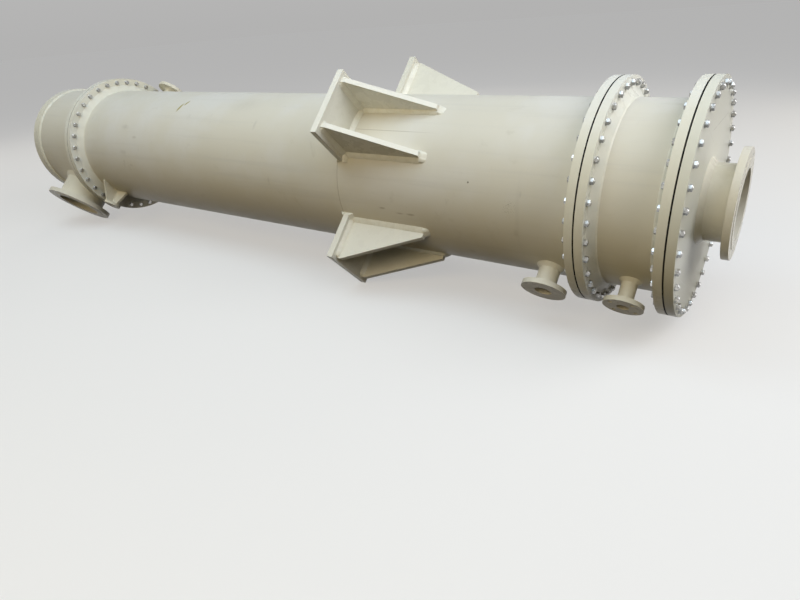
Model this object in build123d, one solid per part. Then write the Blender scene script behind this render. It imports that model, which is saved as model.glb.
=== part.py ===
"""Polypropylene falling film absorber, lying on its side on its lower lugs and its gas outlet.

Frame: X runs along the vessel's axis with the gas inlet at +X, Z is up, and the origin is under
the middle of the overall box, at floor level. Sizes are in millimetres.
"""
import os
from math import sqrt

from build123d import *

# Vessel body
shell_od = 800.0
shell_wall = 18.0
channel_length = 334.0
shell_length = 3720.0
sump_length = 656.0

# Main flanged joints
flange_width = 87.5
flange_thk = 35.0
cover_thk = 35.0
hub_leg = 40.0
hub_length = 26.0
gasket_thk = 5.0
gasket_inset = 16.0

# Sump end
end_plate_thk = 30.0
end_band_wall = 12.0
end_band_width = 46.0

# Tube sheets
tube_sheet_thk = 40.0
tube_bore = 50.0
inner_tube_circle = 190.0
inner_tube_count = 3
outer_tube_circle = 520.0
outer_tube_count = 9

# Gas nozzles: a stub end on the pipe, held by a stepped backing ring
gas_pipe_od = 316.0
gas_pipe_wall = 14.0
gas_flange_od = 450.0
gas_flange_thk = 29.0
gas_stub_od = 360.0
gas_stub_thk = 16.0
gas_stub_proud = 2.0
gas_collar_leg = 22.0
gas_inlet_reach = 132.0
gas_outlet_from_sump_face = 275.0

# Cooling water nozzles
water_pipe_od = 94.0
water_pipe_wall = 9.0
water_flange_od = 200.0
water_flange_thk = 22.0
water_collar_leg = 16.0
water_standoff = 116.0
water_outlet_from_shell_face = 156.0
water_inlet_from_shell_face = 166.0

# Liquid inlet nozzle on the channel
liquid_pipe_od = 66.0
liquid_pipe_wall = 7.0
liquid_flange_od = 165.0
liquid_flange_thk = 20.0
liquid_collar_leg = 14.0
liquid_standoff = 118.0
liquid_from_channel_face = 151.0
liquid_bolt_circle = 125.0
liquid_bolt_hole = 18.0
liquid_bolt_count = 4
liquid_bolt_phase = 45.0

# Shell drain nozzle, stiffened by three gussets
drain_pipe_od = 34.0
drain_pipe_wall = 4.0
drain_flange_od = 115.0
drain_flange_thk = 16.0
drain_collar_leg = 6.0
drain_standoff = 118.0
drain_from_shell_face = 147.0
drain_gusset_along = 112.0
drain_gusset_across = 138.0
drain_gusset_top = 54.0
drain_gusset_tip = 10.0
drain_gusset_thk = 16.0

# Acid outlet nozzle in the middle of the sump's end plate
acid_pipe_od = 94.0
acid_pipe_wall = 9.0
acid_flange_od = 200.0
acid_flange_thk = 22.0
acid_collar_leg = 16.0
acid_reach = 120.0

# Support lugs
lug_from_shell_face = 1213.0
lug_plate_thk = 34.0
lug_height = 215.0
lug_half_width = 174.0
lug_gusset_offset = 125.0
lug_gusset_thk = 24.0
lug_gusset_length = 448.0
lug_gusset_land = 26.0
lug_gusset_drop = 14.0
lug_gusset_tip = 14.0
lug_seam_gap = 10.0

# Directions round the axis, in degrees from -Y towards +Z
front_upper = 45.0
front_lower = -45.0
rear_upper = 135.0
rear_lower = -135.0

shell_radius = shell_od / 2
shell_bore = shell_radius - shell_wall
flange_radius = shell_radius + flange_width

# Distances from the axis to the nozzles' faces and the lugs' outer edges
water_reach = shell_radius + water_standoff
liquid_reach = shell_radius + liquid_standoff
drain_reach = shell_radius + drain_standoff
lug_reach = shell_radius + lug_height

# Stations along the axis, from the cover's outer face towards the sump
cover_back = -cover_thk
channel_top = cover_back - gasket_thk
channel_bottom = channel_top - channel_length
shell_top = channel_bottom - gasket_thk
shell_bottom = shell_top - shell_length
sump_top = shell_bottom - gasket_thk
sump_bottom = sump_top - sump_length
end_plate_face = sump_bottom + end_plate_thk
lug_face = shell_top - lug_from_shell_face
course_seam = lug_face - lug_plate_thk - lug_seam_gap

# The rim of the gas outlet is level with the corners of the lower lugs, which stand on the floor
gas_outlet_reach = lug_reach + lug_half_width - gas_flange_od / 2
axis_height = (lug_reach + lug_half_width) / sqrt(2)
overall_centre = (gas_inlet_reach + gas_stub_proud + sump_bottom - acid_reach) / 2


def at(station, shape):
    """Put a shape drawn about the origin at a station on the vessel's axis."""
    return Pos(station - overall_centre, 0, axis_height) * shape


def axial(shape, towards_sump=False):
    """Lay a shape drawn along +Z down along the vessel's axis."""
    return Rot(0, -90 if towards_sump else 90, 0) * shape


def radial(shape, angle):
    """Turn a shape drawn along +Z outward at an angle, keeping its X along the vessel."""
    return Rot(90 - angle, 0, 0) * shape


def rod(radius, length, start=0.0):
    """A round bar along +Z."""
    return Pos(0, 0, start) * extrude(Circle(radius), amount=length)


def ring(outer_radius, inner_radius, length, start=0.0):
    """A round ring along +Z."""
    return Pos(0, 0, start) * extrude(Circle(outer_radius) - Circle(inner_radius), amount=length)


def turned(*points):
    """Revolve a closed outline of (radius, height) points about Z."""
    outline = make_face(Polyline(*[(radius, 0, height) for radius, height in points], close=True))
    return revolve(outline, axis=Axis.Z)


def round_holes(hole, circle, count, depth, phase=0.0):
    """Bars that cut a circle of round holes."""
    return [rod(hole / 2, depth).move(Location(spot.position))
            for spot in PolarLocations(circle / 2, count, start_angle=phase)]


def drum(outer_radius, inner_radius, low, high):
    """A ring round the axis between two stations."""
    return at(low, axial(ring(outer_radius, inner_radius, high - low)))


def slip_on_flange(station, towards_sump):
    """A flange ring round the shell's end, with a conical weld hub behind it.

    The gasket face is at the station, and the hub points along the given direction.
    """
    body = turned(
        (shell_radius, 0),
        (flange_radius, 0),
        (flange_radius, flange_thk),
        (shell_radius + hub_leg, flange_thk),
        (shell_radius, flange_thk + hub_length),
    )
    return at(station, axial(body, towards_sump))


def body_gasket(low):
    """The gasket of a main joint, a little smaller than the flanges that clamp it."""
    return drum(flange_radius - gasket_inset, shell_bore, low, low + gasket_thk)


def branch_hole(pipe_od, station, angle):
    """The bar that cuts a nozzle's hole in the shell."""
    return at(station, radial(rod(pipe_od / 2, shell_od), angle))


def branch_pipe(pipe_od, pipe_wall, collar_leg, top):
    """A pipe along +Z let into the shell's wall, with a weld collar that follows the saddle."""
    stem = rod(pipe_od / 2, top)
    trunk = axial(rod(shell_radius, 2 * pipe_od, -pipe_od))
    joint = trunk + stem
    joint = chamfer(new_edges(trunk, stem, combined=joint), collar_leg)
    inside = axial(rod(shell_bore, 2 * pipe_od, -pipe_od))
    return (joint - trunk) + (stem - inside) - rod(pipe_od / 2 - pipe_wall, top)


def stub_end(pipe_od, pipe_wall, height):
    """The collar at a gas pipe's end, its face standing proud of its backing ring."""
    bore = pipe_od / 2 - pipe_wall
    return ring(gas_stub_od / 2, bore, gas_stub_thk, height + gas_stub_proud - gas_stub_thk)


def backing_ring(height):
    """The stepped ring behind a gas pipe's stub end, its front at the given height."""
    shoulder = height + gas_stub_proud - gas_stub_thk
    back = height - gas_flange_thk
    return turned(
        (gas_pipe_od / 2, back),
        (gas_flange_od / 2, back),
        (gas_flange_od / 2, height),
        (gas_stub_od / 2, height),
        (gas_stub_od / 2, shoulder),
        (gas_pipe_od / 2, shoulder),
    )


def plate_pipe(pipe_od, pipe_wall, collar_leg, plate_thk, top):
    """A pipe along +Z let into a flat plate under it, with a weld collar on the plate."""
    radius = pipe_od / 2
    bore = radius - pipe_wall
    return turned(
        (radius, -plate_thk),
        (radius, 0),
        (radius + collar_leg, 0),
        (radius, collar_leg),
        (radius, top),
        (bore, top),
        (bore, -plate_thk),
    )


def tube_sheet(low):
    """A disc in the shell's end, bored for the tubes on two circles."""
    sheet = (rod(shell_bore, tube_sheet_thk)
             - round_holes(tube_bore, inner_tube_circle, inner_tube_count, tube_sheet_thk)
             - round_holes(tube_bore, outer_tube_circle, outer_tube_count, tube_sheet_thk))
    return at(low, axial(sheet))


def lug_plate(angle):
    """The lug's base plate, square to the axis and cut to the shell."""
    plate = Box(lug_plate_thk, 2 * lug_half_width, lug_reach,
                align=(Align.MAX, Align.CENTER, Align.MIN))
    trunk = axial(rod(shell_radius, shell_od, -shell_radius))
    return at(lug_face, radial(plate - trunk, angle))


def lug_gussets(angle):
    """Two tapered ribs from the lug's plate along the shell."""
    edge = lug_reach - lug_gusset_drop
    side = make_face(Polyline(
        (0, 0, 0),
        (0, 0, edge),
        (lug_gusset_land, 0, edge),
        (lug_gusset_length, 0, shell_radius + lug_gusset_tip),
        (lug_gusset_length, 0, 0),
        close=True,
    ))
    rib = extrude(side, amount=lug_gusset_thk / 2, both=True)
    pair = Pos(0, lug_gusset_offset, 0) * rib + Pos(0, -lug_gusset_offset, 0) * rib
    trunk = axial(rod(shell_radius, 2 * lug_gusset_length, -lug_gusset_length))
    return at(lug_face, radial(pair - trunk, angle))


def drain_gussets(pipe):
    """Three stiffeners from the drain's flange to the shell, one along it and two across."""
    top = drain_reach - drain_flange_thk
    lower_foot = sqrt(shell_radius ** 2 - drain_gusset_across ** 2)
    ribs = []
    for base, foot, turn in ((drain_gusset_along, shell_radius, 0),
                             (drain_gusset_across, lower_foot, 90),
                             (drain_gusset_across, lower_foot, -90)):
        side = make_face(Polyline(
            (0, 0, 0),
            (0, 0, top),
            (drain_gusset_top, 0, top),
            (base, 0, foot + drain_gusset_tip),
            (base, 0, 0),
            close=True,
        ))
        rib = extrude(side, amount=drain_gusset_thk / 2, both=True)
        ribs.append(Rot(0, 0, turn) * rib)
    trunk = axial(rod(shell_radius, shell_od, -shell_radius))
    return ribs[0] + ribs[1] + ribs[2] - trunk - rod(drain_pipe_od / 2, top) - pipe


# Nozzle stations
gas_outlet = sump_top - gas_outlet_from_sump_face
water_outlet = shell_top - water_outlet_from_shell_face
water_inlet = shell_bottom + water_inlet_from_shell_face
shell_drain = shell_bottom + drain_from_shell_face
liquid_inlet = channel_top - liquid_from_channel_face

parts = {}

# Cover and channel
parts["cover_plate"] = drum(flange_radius, gas_pipe_od / 2, cover_back, 0)
parts["cover_gasket"] = body_gasket(channel_top)
parts["channel_top_flange"] = slip_on_flange(channel_top, True)
parts["channel_shell"] = (drum(shell_radius, shell_bore, channel_bottom, channel_top)
                          - branch_hole(liquid_pipe_od, liquid_inlet, front_lower))
parts["channel_bottom_flange"] = slip_on_flange(channel_bottom, False)
parts["channel_gasket"] = body_gasket(shell_top)

# Main shell
parts["shell_top_flange"] = slip_on_flange(shell_top, True)
parts["shell_upper_course"] = (drum(shell_radius, shell_bore, course_seam, shell_top)
                               - branch_hole(water_pipe_od, water_outlet, front_lower))
parts["shell_lower_course"] = (drum(shell_radius, shell_bore, shell_bottom, course_seam)
                               - branch_hole(water_pipe_od, water_inlet, rear_upper)
                               - branch_hole(drain_pipe_od, shell_drain, front_lower))
parts["shell_bottom_flange"] = slip_on_flange(shell_bottom, False)
parts["upper_tube_sheet"] = tube_sheet(shell_top - tube_sheet_thk)
parts["lower_tube_sheet"] = tube_sheet(shell_bottom)
parts["sump_gasket"] = body_gasket(sump_top)

# Sump
parts["sump_flange"] = slip_on_flange(sump_top, True)
parts["sump_shell"] = (drum(shell_radius, shell_bore, end_plate_face, sump_top)
                       - branch_hole(gas_pipe_od, gas_outlet, front_lower))
band_radius = shell_radius + end_band_wall
parts["sump_end_band"] = drum(band_radius, shell_radius, end_plate_face,
                              end_plate_face + end_band_width)
parts["sump_end_plate"] = drum(band_radius, acid_pipe_od / 2, sump_bottom, end_plate_face)

# Gas nozzles
inlet_top = gas_inlet_reach + gas_stub_proud
inlet_pipe = plate_pipe(gas_pipe_od, gas_pipe_wall, gas_collar_leg, cover_thk, inlet_top)
parts["gas_inlet_pipe"] = at(0, axial(inlet_pipe + stub_end(gas_pipe_od, gas_pipe_wall, gas_inlet_reach)))
parts["gas_inlet_flange"] = at(0, axial(backing_ring(gas_inlet_reach)))
outlet_top = gas_outlet_reach + gas_stub_proud
outlet_pipe = branch_pipe(gas_pipe_od, gas_pipe_wall, gas_collar_leg, outlet_top)
outlet_pipe += stub_end(gas_pipe_od, gas_pipe_wall, gas_outlet_reach)
parts["gas_outlet_pipe"] = at(gas_outlet, radial(outlet_pipe, front_lower))
parts["gas_outlet_flange"] = at(gas_outlet, radial(backing_ring(gas_outlet_reach), front_lower))

# Small nozzles
water_pipe = branch_pipe(water_pipe_od, water_pipe_wall, water_collar_leg, water_reach)
water_flange = ring(water_flange_od / 2, water_pipe_od / 2, water_flange_thk,
                    water_reach - water_flange_thk)
for name, station, angle in (("water_outlet", water_outlet, front_lower),
                             ("water_inlet", water_inlet, rear_upper)):
    parts[name + "_pipe"] = at(station, radial(water_pipe, angle))
    parts[name + "_flange"] = at(station, radial(water_flange, angle))

liquid_pipe = branch_pipe(liquid_pipe_od, liquid_pipe_wall, liquid_collar_leg, liquid_reach)
liquid_flange = (ring(liquid_flange_od / 2, liquid_pipe_od / 2, liquid_flange_thk)
                 - round_holes(liquid_bolt_hole, liquid_bolt_circle, liquid_bolt_count,
                               liquid_flange_thk, liquid_bolt_phase))
liquid_flange = Pos(0, 0, liquid_reach - liquid_flange_thk) * liquid_flange
parts["liquid_inlet_pipe"] = at(liquid_inlet, radial(liquid_pipe, front_lower))
parts["liquid_inlet_flange"] = at(liquid_inlet, radial(liquid_flange, front_lower))

drain_pipe = branch_pipe(drain_pipe_od, drain_pipe_wall, drain_collar_leg, drain_reach)
drain_flange = ring(drain_flange_od / 2, drain_pipe_od / 2, drain_flange_thk,
                    drain_reach - drain_flange_thk)
parts["shell_drain_pipe"] = at(shell_drain, radial(drain_pipe, front_lower))
parts["shell_drain_flange"] = at(shell_drain, radial(drain_flange, front_lower))
parts["shell_drain_gussets"] = at(shell_drain, radial(drain_gussets(drain_pipe), front_lower))

acid_pipe = plate_pipe(acid_pipe_od, acid_pipe_wall, acid_collar_leg, end_plate_thk, acid_reach)
acid_flange = ring(acid_flange_od / 2, acid_pipe_od / 2, acid_flange_thk,
                   acid_reach - acid_flange_thk)
parts["acid_outlet_pipe"] = at(sump_bottom, axial(acid_pipe, True))
parts["acid_outlet_flange"] = at(sump_bottom, axial(acid_flange, True))

# Support lugs
for name, angle in (("front_upper", front_upper), ("front_lower", front_lower),
                    ("rear_upper", rear_upper), ("rear_lower", rear_lower)):
    parts["lug_" + name + "_plate"] = lug_plate(angle)
    parts["lug_" + name + "_gussets"] = lug_gussets(angle)

os.makedirs("parts", exist_ok=True)
for name, shape in parts.items():
    export_step(shape, "parts/" + name + ".step")
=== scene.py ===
import math
from collections import namedtuple

import bpy
import numpy as np
from mathutils import Matrix, Vector

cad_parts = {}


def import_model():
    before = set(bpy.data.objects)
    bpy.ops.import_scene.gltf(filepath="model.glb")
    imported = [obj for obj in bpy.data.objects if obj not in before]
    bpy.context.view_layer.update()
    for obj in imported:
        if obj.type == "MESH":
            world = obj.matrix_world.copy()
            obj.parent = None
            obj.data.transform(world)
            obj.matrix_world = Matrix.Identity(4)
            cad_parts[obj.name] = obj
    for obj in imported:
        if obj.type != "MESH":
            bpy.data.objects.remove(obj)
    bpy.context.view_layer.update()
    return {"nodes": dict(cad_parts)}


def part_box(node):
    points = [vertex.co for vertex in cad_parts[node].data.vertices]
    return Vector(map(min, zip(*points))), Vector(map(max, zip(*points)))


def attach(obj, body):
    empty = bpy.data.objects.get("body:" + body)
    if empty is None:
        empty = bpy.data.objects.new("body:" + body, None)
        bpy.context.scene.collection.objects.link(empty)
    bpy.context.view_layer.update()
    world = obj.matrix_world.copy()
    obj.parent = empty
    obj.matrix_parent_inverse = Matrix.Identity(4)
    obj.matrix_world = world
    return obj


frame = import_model()

# Sizes in metres. A station is a distance along X from the cover's outer face, negative towards the sump.
# A direction round the axis is an angle from -Y towards +Z.
SHELL_R = 0.400
FLANGE_THK = 0.035
HUB_LEG = 0.040
HUB_LENGTH = 0.026
BOLT_CIRCLE_R = 0.460
BOLT_COUNT = 36
BOLT_R = 0.008
WASHER_R = 0.0145
WASHER_THK = 0.0028
WASHER_EDGE = 0.0006
ACROSS_FLATS = 0.024
NUT_THK = 0.0110
HEAD_THK = 0.0100
STUD_PROUD = 0.002
THREAD_PITCH = 0.0025
LUG_REACH = 0.615
LUG_HALF = 0.174
RIB_DROP = 0.014
RIB_OFFSET = 0.125
RIB_HALF = 0.012
RIB_LENGTH = 0.448

# The vessel lies on the outer corners of its lugs, which stand at 45 degrees
AXIS_Z = (LUG_REACH + LUG_HALF) / math.sqrt(2)

# Places along the axis, read from the frame
LOW, HIGH = 0, 1
COVER_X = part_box("cover_plate")[HIGH].x


def station(node, end):
    """The station of a node's end, LOW towards the sump or HIGH towards the cover."""
    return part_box(node)[end].x - COVER_X


def middle(node):
    """The station half way along a node."""
    return (station(node, LOW) + station(node, HIGH)) / 2


CHANNEL_TOP = station("channel_top_flange", HIGH)
CHANNEL_BOTTOM = station("channel_bottom_flange", LOW)
SHELL_TOP = station("shell_top_flange", HIGH)
SHELL_BOTTOM = station("shell_bottom_flange", LOW)
SUMP_TOP = station("sump_flange", HIGH)
END_BAND_TOP = station("sump_end_band", HIGH)
LUG_FACE = station("lug_front_upper_plate", HIGH)
LUG_BACK = station("lug_front_upper_plate", LOW)
SEAM = station("shell_upper_course", LOW)


def world(place, radius, phi):
    """A point given by its station, its distance from the axis and its direction."""
    return np.array([COVER_X + place, -radius * math.cos(phi), AXIS_Z + radius * math.sin(phi)])


def outward(phi):
    """The unit vector away from the axis in a direction."""
    return np.array([0.0, -math.cos(phi), math.sin(phi)])


# Small irregularities are drawn from one generator, in the same order on every run
rng = np.random.default_rng(7)


# Meshes
def mesh_piece(name, verts, faces, material, sharp_deg):
    """Makes a smooth shaded piece of the fixed body, with edges sharper than an angle kept sharp."""
    mesh = bpy.data.meshes.new(name)
    mesh.from_pydata([tuple(v) for v in verts], [], faces)
    mesh.validate()
    mesh.update()
    obj = bpy.data.objects.new(name, mesh)
    bpy.context.scene.collection.objects.link(obj)
    mesh.materials.append(material)
    mesh.polygons.foreach_set("use_smooth", [True] * len(mesh.polygons))
    mesh.set_sharp_from_angle(angle=math.radians(sharp_deg))
    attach(obj, "root")


class Builder:
    """Gathers vertices and faces of several bodies into one mesh."""

    def __init__(self):
        self.verts = []
        self.faces = []

    def add(self, verts, faces):
        base = len(self.verts)
        self.verts.extend(np.asarray(verts, float).tolist())
        self.faces.extend([tuple(base + i for i in f) for f in faces])


def ring_faces(rings, count):
    """The four sided faces between rings of vertices that follow each other."""
    faces = []
    for k in range(rings - 1):
        for i in range(count):
            j = (i + 1) % count
            faces.append((k * count + i, k * count + j, (k + 1) * count + j, (k + 1) * count + i))
    return faces


def even_angles(count):
    """Angles at even steps round a full turn."""
    return np.arange(count) * 2 * math.pi / count


def ring_verts(radius, height, angles):
    """Vertices at a height, at one radius or at a radius for each angle."""
    return np.c_[radius * np.cos(angles), radius * np.sin(angles), np.full(len(angles), height)]


def lathe(profile, segments):
    """Vertices and faces of a profile of (radius, height) turned about Z."""
    angles = even_angles(segments)
    verts = np.concatenate([ring_verts(radius, height, angles) for radius, height in profile])
    return verts, ring_faces(len(profile), segments)


def bead(path, side_a, side_b, legs, bulge=0.16, ripple=0.07, closed=False, taper=True):
    """A weld fillet along a path, between two surfaces that leave the path along side_a and side_b.

    It covers one leg's length of each surface. Its face bulges, its corner is sunk into the surfaces, and
    it swells and shrinks along the path.
    """
    path, side_a, side_b = (np.asarray(v, float) for v in (path, side_a, side_b))
    leg_a, leg_b = legs
    sunk = 0.15
    count = len(path)
    beat = np.sin(np.arange(count) * 2.1 + rng.random() * 6) * 0.5
    wave = 1 + ripple * (beat + rng.normal(0, 0.45, count))
    if taper and not closed:
        from_end = np.minimum(np.arange(count), np.arange(count)[::-1])
        wave = wave * np.clip(0.55 + 0.45 * np.sqrt(np.clip(from_end / 3.0, 0, 1)), 0, 1)
    wave = wave[:, None]
    steps = 6
    rows = [path - sunk * leg_a * side_a - sunk * leg_b * side_b]
    for k in range(steps + 1):
        share = k / steps
        out = 1 + bulge * math.sin(math.pi * share)
        rows.append(path + wave * out * ((1 - share) * leg_a * side_a + share * leg_b * side_b))
    ring = len(rows)
    verts = np.stack(rows, axis=1).reshape(-1, 3)
    faces = []
    for i in range(count if closed else count - 1):
        j = (i + 1) % count
        for k in range(ring):
            m = (k + 1) % ring
            faces.append((i * ring + k, i * ring + m, j * ring + m, j * ring + k))
    if not closed:
        faces.append(tuple(range(ring))[::-1])
        faces.append(tuple((count - 1) * ring + k for k in range(ring)))
    return verts, faces


# Shader trees
class Shader:
    """A node tree with short calls for what the materials share."""

    def __init__(self, name):
        self.mat = bpy.data.materials.new(name)
        self.mat.use_nodes = True
        self.tree = self.mat.node_tree
        self.tree.nodes.clear()
        output = self.tree.nodes.new("ShaderNodeOutputMaterial")
        self.bsdf = self.tree.nodes.new("ShaderNodeBsdfPrincipled")
        self.link(self.bsdf.outputs[0], output.inputs[0])
        self.coords = self.tree.nodes.new("ShaderNodeTexCoord").outputs["Object"]
        self.x, self.y, self.z = self.split(self.coords)
        self.up = self.minus(self.z, AXIS_Z)

    def link(self, output, socket):
        self.tree.links.new(output, socket)

    def put(self, socket, value):
        """Links an output to a socket, or sets a number or colour on it."""
        if isinstance(value, bpy.types.NodeSocket):
            self.link(value, socket)
        elif isinstance(value, tuple) and len(value) == 3:
            socket.default_value = (*value, 1.0)
        else:
            socket.default_value = value

    def set(self, **values):
        """Sets or links the shader's own sockets, with underscores for the spaces in their names."""
        for name, value in values.items():
            self.put(self.bsdf.inputs[name.replace("_", " ")], value)

    def split(self, vector):
        node = self.tree.nodes.new("ShaderNodeSeparateXYZ")
        self.link(vector, node.inputs[0])
        return node.outputs

    def normal(self):
        """The parts of the face's own direction along X, Y and Z."""
        return self.split(self.tree.nodes.new("ShaderNodeNewGeometry").outputs["True Normal"])

    def calc(self, operation, *values):
        node = self.tree.nodes.new("ShaderNodeMath")
        node.operation = operation
        for socket, value in zip(node.inputs, values):
            self.put(socket, value)
        return node.outputs[0]

    def plus(self, a, b):
        return self.calc("ADD", a, b)

    def minus(self, a, b):
        return self.calc("SUBTRACT", a, b)

    def times(self, a, b):
        return self.calc("MULTIPLY", a, b)

    def absolute(self, a):
        return self.calc("ABSOLUTE", a)

    def length(self, a, b):
        """The length of the vector with these two parts."""
        return self.calc("SQRT", self.plus(self.times(a, a), self.times(b, b)))

    def stretched(self, sx, sy, sz):
        node = self.tree.nodes.new("ShaderNodeMapping")
        node.inputs["Scale"].default_value = (sx, sy, sz)
        self.link(self.coords, node.inputs["Vector"])
        return node.outputs[0]

    def noise(self, scale, detail, rough, vector=None, distortion=0.0):
        """Noise from 0 to 1, with about as many blobs to a metre as its scale."""
        node = self.tree.nodes.new("ShaderNodeTexNoise")
        self.put(node.inputs["Vector"], vector or self.coords)
        node.inputs["Scale"].default_value = scale
        node.inputs["Detail"].default_value = detail
        node.inputs["Roughness"].default_value = rough
        node.inputs["Distortion"].default_value = distortion
        return node.outputs[0]

    def ramp(self, value, low, high, to_low=0.0, to_high=1.0):
        """Takes a value smoothly from to_low, where it is low, to to_high, where it is high."""
        node = self.tree.nodes.new("ShaderNodeMapRange")
        node.interpolation_type = "SMOOTHSTEP"
        self.put(node.inputs["Value"], value)
        node.inputs["From Min"].default_value = low
        node.inputs["From Max"].default_value = high
        node.inputs["To Min"].default_value = to_low
        node.inputs["To Max"].default_value = to_high
        return node.outputs[0]

    def mix(self, factor, a, b):
        node = self.tree.nodes.new("ShaderNodeMix")
        node.data_type = "RGBA"
        for socket, value in ((node.inputs[0], factor), (node.inputs[6], a), (node.inputs[7], b)):
            self.put(socket, value)
        return node.outputs[2]

    def lay(self, colour, mask, amount, tint):
        """Lays a tint over a colour where the mask is high."""
        return self.mix(self.times(mask, amount), colour, tint)

    def bump(self, height, strength, distance, normal=None):
        node = self.tree.nodes.new("ShaderNodeBump")
        node.inputs["Strength"].default_value = strength
        node.inputs["Distance"].default_value = distance
        self.link(height, node.inputs["Height"])
        if normal is not None:
            self.link(normal, node.inputs["Normal"])
        return node.outputs[0]


# Marks on the surfaces
GREY = (0.38, 0.36, 0.33)
RUBBED = (0.28, 0.25, 0.20)
RUST = (0.22, 0.17, 0.12)
SCRATCH = (0.36, 0.31, 0.10)
NEAR_BLACK = (0.10, 0.085, 0.06)
SEAM_TINT = (0.30, 0.27, 0.21)
LONG_SEAM_TINT = (0.36, 0.33, 0.27)
SCUFF_TINT = (0.24, 0.22, 0.18)
# The colour of the painted shade on the shell's underside
UNDERSIDE_SHADE_TINT = (0.50, 0.42, 0.22)
# The colour of the painted shade and dust in the joints' gaps
GAP_SHADE_AND_DUST_TINT = (0.012, 0.011, 0.009)
SAWN_EDGE_AND_HIGHLIGHT_TINT = (0.84, 0.83, 0.77)
# The colour of the painted shade on the cover's lower half
COVER_LOW_SHADE_TINT = (0.34, 0.325, 0.24)
LONG_SEAM_DEG = 44.0

# A mark on the shell lies at an X and a direction in degrees, reaches half_x along the vessel and half_phi
# degrees round it, and is turned by tilt degrees. Blur softens its edge, wobble breaks the edge up, and
# amount is how strongly its tint shows.
Mark = namedtuple("Mark", "x phi half_x half_phi blur amount tint tilt wobble", defaults=(0.0, 0.35))

SCUFF = Mark(1.688, 0.5, 0.030, 5.5, 0.8, 0.60, SCUFF_TINT)
SHELL_MARKS = [
    # A faint band and two smudges behind the middle joint
    Mark(1.724, -5.0, 0.012, 26.0, 0.9, 0.10, GREY, wobble=0.2),
    Mark(1.735, 10.0, 0.006, 2.5, 0.8, 0.22, GREY),
    Mark(1.714, -15.5, 0.014, 3.0, 0.8, 0.22, GREY),
    # A dark dot on the near course
    Mark(1.4857, 13.9, 0.005, 0.7, 0.5, 0.85, NEAR_BLACK, wobble=0.1),
    # Two short scratches on the far course
    Mark(-0.6905, 57.7, 0.040, 1.5, 0.45, 1.0, SCRATCH, 80.8, 0.12),
    Mark(-0.6590, 63.9, 0.026, 1.3, 0.45, 1.0, SCRATCH, 74.0, 0.12),
    # Drag marks on the near course
    Mark(1.005, -10.8, 0.020, 0.9, 0.9, 0.60, RUBBED),
    Mark(1.110, -13.2, 0.030, 0.7, 0.9, 0.50, RUBBED),
    Mark(1.172, -13.0, 0.026, 0.8, 0.9, 0.60, RUBBED),
    # Smudges and rubbed places on both courses
    Mark(-0.115, 64.0, 0.13, 9.0, 1.0, 0.16, GREY),
    Mark(-1.045, 24.0, 0.026, 1.6, 0.8, 0.22, RUST),
    Mark(-1.110, -2.8, 0.020, 1.2, 0.8, 0.18, RUST),
    Mark(-1.172, 33.2, 0.045, 2.6, 0.9, 0.30, GREY),
    Mark(-1.175, 9.1, 0.040, 2.2, 0.9, 0.25, GREY),
    Mark(1.4596, -40.4, 0.018, 2.0, 0.9, 0.30, GREY),
    Mark(0.86, 12.0, 0.16, 8.0, 1.0, 0.10, GREY),
    Mark(0.074, 43.0, 0.012, 4.5, 0.8, 0.25, GREY),
    Mark(0.230, -1.0, 0.010, 3.5, 0.8, 0.22, GREY),
]

# A scratch on the cover runs between two points of (y, z), given from the axis. Half is half its width.
Scratch = namedtuple("Scratch", "start end half amount tint")
COVER_SCRATCHES = [
    Scratch((-0.089, 0.297), (0.259, 0.311), 0.0030, 0.45, (0.30, 0.28, 0.22)),
    Scratch((-0.20, 0.33), (-0.02, 0.24), 0.0022, 0.25, (0.33, 0.31, 0.25)),
    Scratch((-0.33, -0.22), (-0.17, -0.31), 0.0022, 0.25, (0.85, 0.84, 0.78)),
]


def along_and_across(s, dx, dy, cos, sin):
    """Two distances, turned to run along and across a line."""
    along = s.plus(s.times(dx, cos), s.times(dy, sin))
    across = s.minus(s.times(dy, cos), s.times(dx, sin))
    return along, across


def mark_mask(s, phi, ragged, mark):
    """Where a mark lies, with an edge that ragged noise breaks up."""
    dx = s.minus(s.x, mark.x)
    dy = s.times(s.minus(phi, math.radians(mark.phi)), SHELL_R)
    tilt = math.radians(mark.tilt)
    along, across = along_and_across(s, dx, dy, math.cos(tilt), math.sin(tilt))
    half_y = math.radians(mark.half_phi) * SHELL_R
    distance = s.length(s.calc("DIVIDE", along, mark.half_x), s.calc("DIVIDE", across, half_y))
    shake = s.times(s.minus(ragged, 0.5), mark.wobble * 3)
    return s.ramp(s.plus(distance, shake), 1.0 + mark.blur * 0.4, 1.0 - mark.blur)


def seams(s, colour, phi):
    """The seam between the two courses, and a stretch of the near course's long seam."""
    ring_seam = s.ramp(s.absolute(s.minus(s.x, COVER_X + SEAM)), 0.0035, 0.0012)
    colour = s.lay(colour, ring_seam, 0.55, SEAM_TINT)
    away = s.absolute(s.minus(phi, math.radians(LONG_SEAM_DEG)))
    reach = s.times(s.ramp(s.x, 0.80, 0.82), s.ramp(s.x, 1.30, 1.05))
    return s.lay(colour, s.times(s.ramp(away, 0.0065, 0.0025), reach), 0.60, LONG_SEAM_TINT)


def shell_marks(s, colour):
    """The shell's seams, scuffs, scratches and smudges, and painted shade that makes its underside dull
    brown.
    """
    phi = s.calc("ARCTAN2", s.up, s.times(s.y, -1.0))
    ragged = s.noise(38.0, 3.0, 0.6)
    colour = seams(s, colour, phi)
    flecks = s.ramp(s.noise(170.0, 3.0, 0.6), 0.54, 0.64)
    colour = s.lay(colour, s.times(mark_mask(s, phi, ragged, SCUFF), flecks), SCUFF.amount, SCUFF.tint)
    for mark in SHELL_MARKS:
        colour = s.lay(colour, mark_mask(s, phi, ragged, mark), mark.amount, mark.tint)
    # Painted shade: the shell grows darker and browner towards its underside
    return s.lay(colour, s.ramp(s.up, 0.10, -0.41), 0.54, UNDERSIDE_SHADE_TINT)


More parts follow.
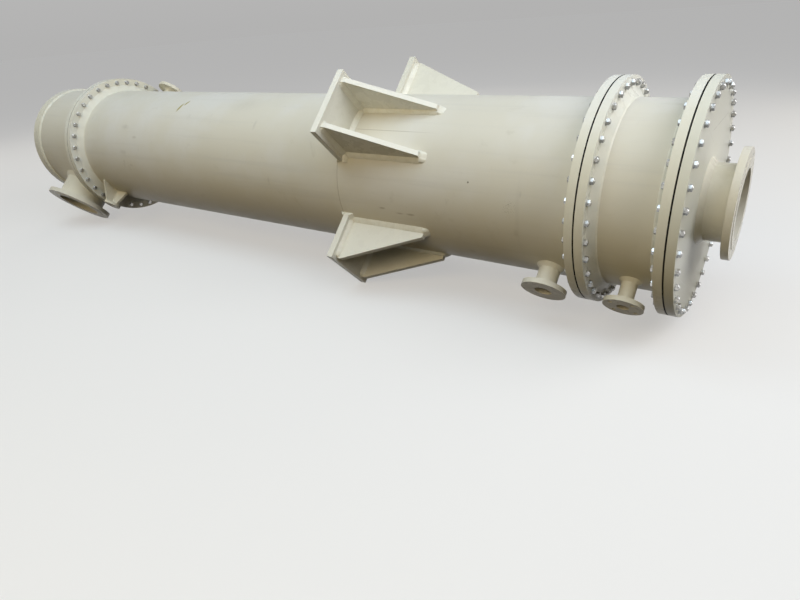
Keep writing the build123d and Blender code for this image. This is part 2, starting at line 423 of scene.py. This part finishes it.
def joint_shade_and_dust(s, colour):
    """Darkens the facing sides of the three bolted joints with painted shade and some dust, where the gap
    is.
    """
    for gasket, amount in (("cover_gasket", 0.96), ("channel_gasket", 0.96), ("sump_gasket", 0.30)):
        away = s.absolute(s.minus(s.x, COVER_X + middle(gasket)))
        # Painted shade in the gap of each joint, with some dust
        colour = s.lay(colour, s.ramp(away, 0.0036, 0.0028), amount, GAP_SHADE_AND_DUST_TINT)
    return colour


def cut_edges_and_highlights(s, colour):
    """Lightens the sawn edges of the lugs, which face away from the vessel's axis, as paler cut faces and
    as a painted highlight for the light their corners catch.
    """
    _, normal_y, normal_z = s.normal()
    reach = s.length(s.y, s.up)
    facing = s.calc("DIVIDE", s.plus(s.times(normal_y, s.y), s.times(normal_z, s.up)), reach)
    # Paler sawn faces, with a painted highlight, on the edges that face outward
    return s.lay(colour, s.ramp(facing, 0.70, 0.85), 0.70, SAWN_EDGE_AND_HIGHLIGHT_TINT)


def cover_scratch(s, colour, scratch):
    """A straight scratch on the cover, broken up along its length."""
    (y0, z0), (y1, z1) = scratch.start, scratch.end
    length = math.hypot(y1 - y0, z1 - z0)
    dy = s.minus(s.y, (y0 + y1) / 2)
    dz = s.minus(s.up, (z0 + z1) / 2)
    along, across = along_and_across(s, dy, dz, (y1 - y0) / length, (z1 - z0) / length)
    width_mask = s.ramp(s.absolute(across), scratch.half, scratch.half * 0.3)
    length_mask = s.ramp(s.absolute(along), length / 2, length / 2 - 0.02)
    broken = s.ramp(s.noise(60.0, 3.0, 0.6), 0.35, 0.6)
    mask = s.times(s.times(width_mask, length_mask), broken)
    return s.lay(colour, mask, scratch.amount, scratch.tint)


def cover_marks(s, colour):
    """The cover's lower half, darkened with painted shade, its scratches, and the painted shade and dust
    along the line of its joint.
    """
    # Painted shade: the lower part of the cover is darkened
    colour = s.lay(colour, s.ramp(s.up, -0.10, -0.42), 0.62, COVER_LOW_SHADE_TINT)
    for scratch in COVER_SCRATCHES:
        colour = cover_scratch(s, colour, scratch)
    return joint_shade_and_dust(s, colour)


# Materials
POLYPROPYLENE_IOR = 1.49
STREAK_DARKENING = 0.80
BLOTCH_TINT = (0.36, 0.33, 0.26)
SPECK_TINT = (0.22, 0.19, 0.14)
HUB_TINT = (0.755, 0.75, 0.675)
HUB_NORMAL_X = 0.65


def plastic(name, base, roughness, grain=0.3, dirt=0.25, marks=(), streaks=0.0, mottle=1.0, gloss=0.20,
            uneven=1.0):
    """Cream polypropylene: soft mottling, faint streaks, specks of dust and handling marks.

    The marks are functions that lay more on the colour. Mottle scales the soft changes of colour, and
    uneven scales the specks and the changes of gloss.
    """
    s = Shader(name)
    warm = tuple(c * (1 - change * mottle) for c, change in zip(base, (0.03, 0.045, 0.10)))
    cool = tuple(c * (1 + change * mottle) for c, change in zip(base, (0.015, 0.02, 0.04)))
    colour = s.mix(s.ramp(s.noise(1.7, 4.0, 0.6), 0.36, 0.66), warm, cool)
    if streaks:
        streak = s.ramp(s.noise(7.0, 4.0, 0.65, s.stretched(0.12, 3.0, 3.0)), 0.5, 0.78)
        colour = s.lay(colour, streak, streaks, tuple(c * STREAK_DARKENING for c in base))
    blotch = s.ramp(s.noise(9.0, 5.0, 0.62, distortion=0.4), 0.60, 0.80)
    colour = s.lay(colour, blotch, dirt, BLOTCH_TINT)
    speck = s.ramp(s.noise(150.0, 2.0, 0.5), 0.735, 0.80)
    field = s.ramp(s.noise(3.1, 2.0, 0.5), 0.46, 0.62)
    colour = s.lay(colour, s.times(speck, field), 0.45 * uneven, SPECK_TINT)
    for lay_marks in marks:
        colour = lay_marks(s, colour)
    rough_noise = s.noise(14.0, 4.0, 0.6)
    rough = s.ramp(rough_noise, 0.3, 0.7, roughness - 0.05 * uneven, roughness + 0.07 * uneven)
    broad = s.bump(s.noise(5.0, 2.0, 0.5), grain * 0.5, 0.004)
    fine = s.bump(s.noise(320.0, 2.0, 0.5), grain, 0.0004, broad)
    s.set(Base_Color=colour, Roughness=rough, IOR=POLYPROPYLENE_IOR, Specular_IOR_Level=gloss, Normal=fine)
    return s.mat


def pale_hubs(s, colour):
    """Lightens the cones of the weld hubs, told by how far their faces lean along X."""
    lean_x = s.absolute(s.normal()[0])
    cone = s.ramp(s.absolute(s.minus(lean_x, HUB_NORMAL_X)), 0.30, 0.22)
    return s.lay(colour, cone, 0.60, HUB_TINT)


def zinc():
    """Zinc plated steel, with painted shade on the faces that look down, and a little darker on those along
    X.
    """
    s = Shader("zinc_plate")
    tint = s.mix(s.ramp(s.noise(60.0, 3.0, 0.6), 0.35, 0.65), (0.76, 0.75, 0.72), (0.52, 0.51, 0.49))
    stain = s.ramp(s.noise(24.0, 2.0, 0.5), 0.58, 0.72)
    tint = s.lay(tint, stain, 0.4, (0.50, 0.46, 0.36))
    normal_x, _, normal_z = s.normal()
    end_face = s.ramp(s.absolute(normal_x), 0.70, 0.90, 0.0, 0.25)
    # Painted shade on the faces that look down
    under_shade = s.ramp(normal_z, 0.25, -0.45)
    tint = s.lay(tint, s.calc("MAXIMUM", end_face, under_shade), 0.75, (0.19, 0.195, 0.20))
    rough = s.ramp(s.noise(180.0, 3.0, 0.6), 0.3, 0.7, 0.22, 0.40)
    pitted = s.bump(s.noise(500.0, 2.0, 0.5), 0.15, 0.0003)
    s.set(Base_Color=tint, Metallic=1.0, Roughness=rough, Normal=pitted)
    return s.mat


def rubber():
    """Black sheet rubber, dusty in places."""
    s = Shader("gasket_rubber")
    dust = s.ramp(s.noise(40.0, 3.0, 0.6), 0.4, 0.75)
    colour = s.mix(dust, (0.006, 0.006, 0.006), (0.018, 0.017, 0.015))
    rough = s.ramp(s.noise(90.0, 2.0, 0.5), 0.3, 0.7, 0.75, 0.9)
    grainy = s.bump(s.noise(260.0, 2.0, 0.5), 0.3, 0.0004)
    s.set(Base_Color=colour, Roughness=rough, Specular_IOR_Level=0.2, Normal=grainy)
    return s.mat


def weld():
    """Hand laid weld: close to the sheet in colour, with ripples and some dust."""
    s = Shader("weld_bead")
    colour = s.mix(s.ramp(s.noise(26.0, 3.0, 0.6), 0.35, 0.7), (0.77, 0.76, 0.68), (0.70, 0.68, 0.585))
    dust = s.ramp(s.noise(70.0, 3.0, 0.6), 0.62, 0.78)
    colour = s.lay(colour, dust, 0.25, (0.45, 0.41, 0.32))
    rough = s.ramp(s.noise(50.0, 2.0, 0.5), 0.3, 0.7, 0.30, 0.45)
    rippled = s.bump(s.noise(130.0, 2.0, 0.5), 0.35, 0.001)
    s.set(Base_Color=colour, Roughness=rough, IOR=POLYPROPYLENE_IOR, Normal=rippled)
    return s.mat


shell_mat = plastic("shell_cream", (0.676, 0.660, 0.608), 0.34, marks=[shell_marks], streaks=0.30)
flange_mat = plastic("flange_cream", (0.740, 0.730, 0.660), 0.27, dirt=0.08, marks=[pale_hubs, joint_shade_and_dust])
cover_mat = plastic("cover_cream", (0.675, 0.670, 0.590), 0.30, grain=0.006, dirt=0.05,
                    marks=[cover_marks], mottle=0.3, gloss=0.14, uneven=0.15)
nozzle_mat = plastic("nozzle_cream", (0.705, 0.680, 0.595), 0.28, dirt=0.20)
lug_mat = plastic("lug_cream", (0.706, 0.690, 0.614), 0.27, dirt=0.03, marks=[cut_edges_and_highlights], mottle=0.4,
                  uneven=0.5)
gasket_mat = rubber()
zinc_mat = zinc()
weld_mat = weld()


def node_material(node):
    """The material of a CAD node, by its name."""
    if "gasket" in node:
        return gasket_mat
    if node.startswith("lug_"):
        return lug_mat
    if node == "cover_plate":
        return cover_mat
    if node.endswith(("_shell", "_course")):
        return shell_mat
    if node.startswith(("channel_", "shell_top", "shell_bottom", "sump_", "upper_", "lower_")):
        return flange_mat
    return nozzle_mat


for node, obj in frame["nodes"].items():
    for holder in obj.material_slots:
        holder.material = node_material(node)


# Bolting
def washer():
    """A round washer with its outer edges broken."""
    return lathe([
        (BOLT_R, 0.0),
        (WASHER_R - WASHER_EDGE, 0.0),
        (WASHER_R, WASHER_EDGE),
        (WASHER_R, WASHER_THK - 0.0005),
        (WASHER_R - WASHER_EDGE, WASHER_THK),
        (BOLT_R, WASHER_THK),
    ], 28)


def hex_body(height):
    """A hexagon on a washer, with its outer corners turned off."""
    angles = even_angles(24)
    flat = ACROSS_FLATS / 2
    outline = flat / np.cos((angles + math.pi / 6) % (math.pi / 3) - math.pi / 6)
    crown = flat * 0.97
    rings = [
        (outline, WASHER_THK),
        (outline, WASHER_THK + height * 0.80),
        (np.minimum(outline, crown * 1.035), WASHER_THK + height * 0.94),
        (np.full(len(angles), crown * 0.95), WASHER_THK + height),
    ]
    verts = np.concatenate([ring_verts(radii, level, angles) for radii, level in rings])
    faces = ring_faces(len(rings), len(angles))
    faces.append(tuple((len(rings) - 1) * len(angles) + i for i in range(len(angles))))
    return verts, faces


def stud_end(low, high):
    """A threaded end that sticks out of its nut."""
    tip = 0.002
    profile = [(BOLT_R * 0.92, low)]
    turns = max(2, int(round((high - low - tip) / THREAD_PITCH)))
    step = (high - low - tip) / turns
    for k in range(turns):
        profile.append((BOLT_R, low + (k + 0.3) * step))
        profile.append((BOLT_R * 0.90, low + (k + 0.9) * step))
    profile += [(BOLT_R * 0.86, high - tip / 2), (BOLT_R * 0.78, high), (0.0001, high)]
    return lathe(profile, 16)


def fasteners(name, place, towards, first_deg, nut):
    """One side of a joint's ring of fasteners, each turned and seated a little differently."""
    made = Builder()
    stand = Vector((towards, 0, 0)).to_track_quat("Z", "Y").to_matrix().to_4x4()
    for k in range(BOLT_COUNT):
        phi = math.radians(first_deg + k * 360.0 / BOLT_COUNT + rng.normal(0, 0.12))
        spin = rng.random() * math.pi
        bodies = [washer()]
        if nut:
            top = WASHER_THK + NUT_THK
            bodies.append(hex_body(NUT_THK))
            bodies.append(stud_end(top - 0.001, top + STUD_PROUD + rng.normal(0, 0.0008)))
        else:
            bodies.append(hex_body(HEAD_THK))
        turn = Matrix.Rotation(spin, 4, "Z")
        lean = Matrix.Rotation(rng.normal(0, 0.012), 4, "Y")
        matrix = np.array(Matrix.Translation(world(place, BOLT_CIRCLE_R, phi)) @ stand @ lean @ turn)
        for verts, faces in bodies:
            moved = np.c_[verts, np.ones(len(verts))] @ matrix.T
            made.add(moved[:, :3], faces)
    mesh_piece(name, made.verts, made.faces, zinc_mat, sharp_deg=28.0)


# The direction of each joint's first bolt
COVER_BOLT_DEG = 1.5
CHANNEL_BOLT_DEG = 0.6
SUMP_BOLT_DEG = -0.6

fasteners("cover_nuts", 0.0, 1, COVER_BOLT_DEG, nut=True)
fasteners("cover_heads", CHANNEL_TOP - FLANGE_THK, -1, COVER_BOLT_DEG, nut=False)
fasteners("channel_nuts", CHANNEL_BOTTOM + FLANGE_THK, 1, CHANNEL_BOLT_DEG, nut=True)
fasteners("channel_heads", SHELL_TOP - FLANGE_THK, -1, CHANNEL_BOLT_DEG, nut=False)
fasteners("sump_heads", SHELL_BOTTOM + FLANGE_THK, 1, SUMP_BOLT_DEG, nut=False)
fasteners("sump_nuts", SUMP_TOP - FLANGE_THK, -1, SUMP_BOLT_DEG, nut=True)

# Welds
ALONG = np.array([1.0, 0.0, 0.0])
WELD_STEP = 0.006
RIB_END_HALF = 0.026

# How far each kind of bead reaches along the two surfaces that it joins
RIB_PLATE_LEGS = (0.017, 0.019)
RIB_FOOT_LEGS = (0.018, 0.018)
RIB_END_LEGS = (0.030, 0.018)
LUG_FOOT_LEGS = (0.020, 0.019)
END_BAND_LEGS = (0.010, 0.009)
HUB_LEGS = (0.004, 0.004)


def round_shell(side, out, angle):
    """The shell's tangent and normal, at an angle round from a lug's middle."""
    tangent = math.cos(angle) * side - math.sin(angle) * out
    normal = math.sin(angle) * side + math.cos(angle) * out
    return tangent, normal


def lug_welds(name, angle_deg):
    """All the beads of one lug: between its ribs and plate, and round the feet of both on the shell."""
    phi = math.radians(angle_deg)
    out = outward(phi)
    side = np.array([0.0, math.sin(phi), math.cos(phi)])
    origin = np.array([COVER_X + LUG_FACE, 0.0, AXIS_Z])
    made = Builder()

    def place(x, y, z):
        return origin + x * ALONG + y * side + z * out

    def run(path, side_a, side_b, legs, **options):
        made.add(*bead(path, [side_a] * len(path), side_b, legs, **options))

    for centre in (-RIB_OFFSET, RIB_OFFSET):
        for face in (-1, 1):
            y = centre + face * RIB_HALF
            foot = math.sqrt(SHELL_R ** 2 - y * y)
            heights = np.arange(foot + 0.004, LUG_REACH - RIB_DROP - 0.002, WELD_STEP)
            path = [place(0, y, z) for z in heights]
            run(path, ALONG, [face * side] * len(path), RIB_PLATE_LEGS)
            tangent, _ = round_shell(side, out, math.asin(y / SHELL_R))
            path = [place(x, y, foot) for x in np.arange(0.0, RIB_LENGTH + 0.001, WELD_STEP)]
            run(path, face * tangent, [out] * len(path), RIB_FOOT_LEGS, taper=False)
        foot = math.sqrt(SHELL_R ** 2 - centre * centre)
        tangent, normal = round_shell(side, out, math.asin(centre / SHELL_R))
        end = place(RIB_LENGTH - 0.003, centre, foot)
        path = [end + y * tangent - (SHELL_R - math.sqrt(SHELL_R ** 2 - y * y)) * normal
                for y in np.linspace(-RIB_END_HALF, RIB_END_HALF, 13)]
        run(path, ALONG, [normal] * len(path), RIB_END_LEGS, bulge=0.10)
    swing = math.asin(LUG_HALF / SHELL_R)
    for x, towards in ((0.0, 1.0), (LUG_BACK - LUG_FACE, -1.0)):
        normals = [round_shell(side, out, angle)[1] for angle in np.arange(-swing, swing + 0.001, 0.015)]
        path = [origin + x * ALONG + SHELL_R * normal for normal in normals]
        run(path, towards * ALONG, normals, LUG_FOOT_LEGS, taper=False)
    mesh_piece(name, made.verts, made.faces, weld_mat, sharp_deg=60.0)


lug_welds("lug_front_upper_welds", 45.0)
lug_welds("lug_front_lower_welds", -45.0)
lug_welds("lug_rear_upper_welds", 135.0)
lug_welds("lug_rear_lower_welds", -135.0)


def ring_weld(name, place, towards, legs, slope=(0.0, 1.0)):
    """A weld round the shell, against a face that rises along a slope of (X, radius)."""
    angles = np.arange(0, 360, 1.0) * math.pi / 180
    path = [world(place, SHELL_R, angle) for angle in angles]
    rise = [slope[0] * ALONG + slope[1] * outward(angle) for angle in angles]
    level = [towards * ALONG] * len(path)
    verts, faces = bead(path, level, rise, legs, ripple=0.03, closed=True)
    mesh_piece(name, verts, faces, weld_mat, sharp_deg=60.0)


def hub_weld(name, face, towards):
    """The thin bead at the toe of a body flange's conical hub."""
    cone = math.hypot(HUB_LEG, HUB_LENGTH)
    toe = face + towards * (FLANGE_THK + HUB_LENGTH)
    ring_weld(name, toe, towards, HUB_LEGS, (-towards * HUB_LENGTH / cone, HUB_LEG / cone))


ring_weld("end_band_weld", END_BAND_TOP, 1.0, END_BAND_LEGS)
hub_weld("channel_top_hub_weld", CHANNEL_TOP, -1)
hub_weld("channel_bottom_hub_weld", CHANNEL_BOTTOM, 1)
hub_weld("shell_top_hub_weld", SHELL_TOP, -1)
hub_weld("shell_bottom_hub_weld", SHELL_BOTTOM, 1)
hub_weld("sump_hub_weld", SUMP_TOP, -1)


def flange_weld(name, base, axis, radius, leg):
    """A small weld between the back of a nozzle's flange, centred on base, and its pipe."""
    basis = Vector(axis).to_track_quat("Z", "Y").to_matrix()
    angles = np.linspace(0, 2 * math.pi, 96, endpoint=False)
    spokes = [np.array(basis @ Vector((math.cos(angle), math.sin(angle), 0))) for angle in angles]
    path = [base + radius * spoke for spoke in spokes]
    verts, faces = bead(path, spokes, [-axis] * len(path), (leg, leg), ripple=0.05, closed=True)
    mesh_piece(name, verts, faces, weld_mat, sharp_deg=60.0)


# The nozzles on the vessel's side. flange_back is how far the flange's back is from the vessel's axis.
Nozzle = namedtuple("Nozzle", "name angle_deg flange_back pipe_r weld_leg")
SIDE_NOZZLES = [
    Nozzle("liquid_inlet", -45.0, 0.498, 0.033, 0.009),
    Nozzle("water_outlet", -45.0, 0.494, 0.047, 0.008),
    Nozzle("water_inlet", 135.0, 0.494, 0.047, 0.008),
    Nozzle("shell_drain", -45.0, 0.502, 0.017, 0.005),
]
ACID_PIPE_R = 0.047
ACID_WELD_LEG = 0.008

for nozzle in SIDE_NOZZLES:
    phi = math.radians(nozzle.angle_deg)
    base = world(middle(nozzle.name + "_flange"), nozzle.flange_back, phi)
    flange_weld(nozzle.name + "_weld", base, outward(phi), nozzle.pipe_r, nozzle.weld_leg)
acid_base = world(station("acid_outlet_flange", HIGH), 0, 0)
flange_weld("acid_outlet_weld", acid_base, -ALONG, ACID_PIPE_R, ACID_WELD_LEG)

# Camera, fitted to the photograph
CAMERA_LENS = 26.507
CAMERA_SENSOR = 36.0
CAMERA_PLACE = (2.7274, -2.6107, 1.3357)
CAMERA_RIGHT = (0.81922, 0.56917, -0.07026)
CAMERA_UP = (-0.19782, 0.39544, 0.89693)
CAMERA_BACK = (0.53829, -0.72088, 0.43655)

camera_data = bpy.data.cameras.new("camera")
camera_data.lens = CAMERA_LENS
camera_data.sensor_width = CAMERA_SENSOR
camera_data.clip_start = 0.05
camera_data.clip_end = 200.0
camera = bpy.data.objects.new("camera", camera_data)
bpy.context.scene.collection.objects.link(camera)
aim = Matrix((CAMERA_RIGHT, CAMERA_UP, CAMERA_BACK)).transposed().to_4x4()
camera.matrix_world = Matrix.Translation(CAMERA_PLACE) @ aim
bpy.context.scene.camera = camera


# Floor and sky
def light_path_mix(tree, seen, unseen):
    """Gives one colour to what the camera and mirrors see, and another to the light that bounces."""
    path = tree.nodes.new("ShaderNodeLightPath")
    factor = path.outputs["Is Camera Ray"]
    for ray in ("Is Glossy Ray", "Is Transmission Ray"):
        either = tree.nodes.new("ShaderNodeMath")
        either.operation = "MAXIMUM"
        tree.links.new(factor, either.inputs[0])
        tree.links.new(path.outputs[ray], either.inputs[1])
        factor = either.outputs[0]
    node = tree.nodes.new("ShaderNodeMix")
    node.data_type = "RGBA"
    tree.links.new(factor, node.inputs[0])
    for socket, value in ((node.inputs[6], unseen), (node.inputs[7], seen)):
        if isinstance(value, tuple):
            socket.default_value = (*value, 1.0)
        else:
            tree.links.new(value, socket)
    return node.outputs[2]


FLOOR_HALF = 60
FLOOR_LEVEL = -0.0005
floor_shader = Shader("floor_pale")
floor_colour = light_path_mix(floor_shader.tree, (0.38, 0.378, 0.374), (0.035, 0.027, 0.012))
floor_glow = light_path_mix(floor_shader.tree, (0.44, 0.438, 0.435), (0.0, 0.0, 0.0))
floor_shader.set(Base_Color=floor_colour, Roughness=1.0, Specular_IOR_Level=0.0, Emission_Color=floor_glow,
                 Emission_Strength=1.0)
floor_mesh = bpy.data.meshes.new("floor")
signs = ((-1, -1), (1, -1), (1, 1), (-1, 1))
corners = [(x * FLOOR_HALF, y * FLOOR_HALF, FLOOR_LEVEL) for x, y in signs]
floor_mesh.from_pydata(corners, [], [(0, 1, 2, 3)])
floor_mesh.materials.append(floor_shader.mat)
floor = bpy.data.objects.new("floor", floor_mesh)
bpy.context.scene.collection.objects.link(floor)

world_data = bpy.data.worlds.new("studio")
world_data.use_nodes = True
bpy.context.scene.world = world_data
sky = world_data.node_tree
sky.nodes.clear()
output = sky.nodes.new("ShaderNodeOutputWorld")
background = sky.nodes.new("ShaderNodeBackground")
sky.links.new(background.outputs[0], output.inputs[0])
heading = sky.nodes.new("ShaderNodeTexCoord")
heading_parts = sky.nodes.new("ShaderNodeSeparateXYZ")
sky.links.new(heading.outputs["Generated"], heading_parts.inputs[0])


def sky_ramp(stops):
    """A colour that changes with the height of the direction looked in, given by (height, colour) stops."""
    node = sky.nodes.new("ShaderNodeValToRGB")
    elements = node.color_ramp.elements
    for element, (height, colour) in ((elements[0], stops[0]), (elements[1], stops[-1])):
        element.position = height
        element.color = (*colour, 1.0)
    for height, colour in stops[1:-1]:
        elements.new(height).color = (*colour, 1.0)
    sky.links.new(heading_parts.outputs[2], node.inputs[0])
    return node.outputs[0]


backdrop = sky_ramp([(0.0, (0.45, 0.448, 0.445)), (0.30, (0.54, 0.538, 0.535))])
skylight = sky_ramp([
    (0.0, (0.02, 0.018, 0.014)),
    (0.45, (0.03, 0.029, 0.027)),
    (1.0, (0.05, 0.055, 0.065)),
])
sky.links.new(light_path_mix(sky, backdrop, skylight), background.inputs["Color"])
background.inputs["Strength"].default_value = 1.0


# Lamps
def area_light(name, place, target, size, power, colour, mirrored=True):
    """A soft lamp aimed at a target, which shows in reflections only where mirrored."""
    data = bpy.data.lights.new(name, "AREA")
    data.shape = "RECTANGLE"
    data.size, data.size_y = size
    data.energy = power
    data.color = colour
    obj = bpy.data.objects.new(name, data)
    bpy.context.scene.collection.objects.link(obj)
    obj.location = place
    obj.visible_glossy = mirrored
    obj.rotation_mode = "QUATERNION"
    obj.rotation_quaternion = (Vector(target) - Vector(place)).to_track_quat("-Z", "Y")


area_light("near_roof", place=(1.6, -1.6, 5.2), target=(1.5, 0.2, 0.5), size=(4.4, 3.5), power=90,
           colour=(0.62, 0.82, 1.0))
area_light("far_roof", place=(-1.8, -1.6, 5.2), target=(-1.8, 0.2, 0.5), size=(4.4, 3.5), power=85,
           colour=(0.73, 0.88, 0.97))
area_light("end", place=(5.8, 0.2, 4.4), target=(1.8, 0.0, 0.6), size=(5.5, 4.0), power=250,
           colour=(0.95, 0.965, 1.0))
area_light("front", place=(-0.3, -6.2, 4.2), target=(0.2, 0.0, 0.6), size=(5.0, 2.5), power=84,
           colour=(1.0, 0.82, 0.51), mirrored=False)
area_light("key", place=(2.5, -5.5, 4.0), target=(0.5, 0.0, 0.5), size=(4.0, 3.0), power=98,
           colour=(1.0, 0.83, 0.53), mirrored=False)
area_light("back_near", place=(5.5, 5.0, 1.9), target=(0.2, 0.0, 0.5), size=(4.0, 2.4), power=95,
           colour=(1.0, 0.90, 0.72), mirrored=False)
area_light("far_end", place=(-6.8, -1.0, 2.6), target=(-2.4, 0.0, 0.6), size=(3.0, 2.5), power=38,
           colour=(1.0, 0.95, 0.85), mirrored=False)
area_light("back_far", place=(-4.5, 5.5, 3.2), target=(-1.5, 0.0, 0.5), size=(4.0, 2.0), power=70,
           colour=(1.0, 0.90, 0.72), mirrored=False)

bpy.context.scene.view_settings.view_transform = "Standard"
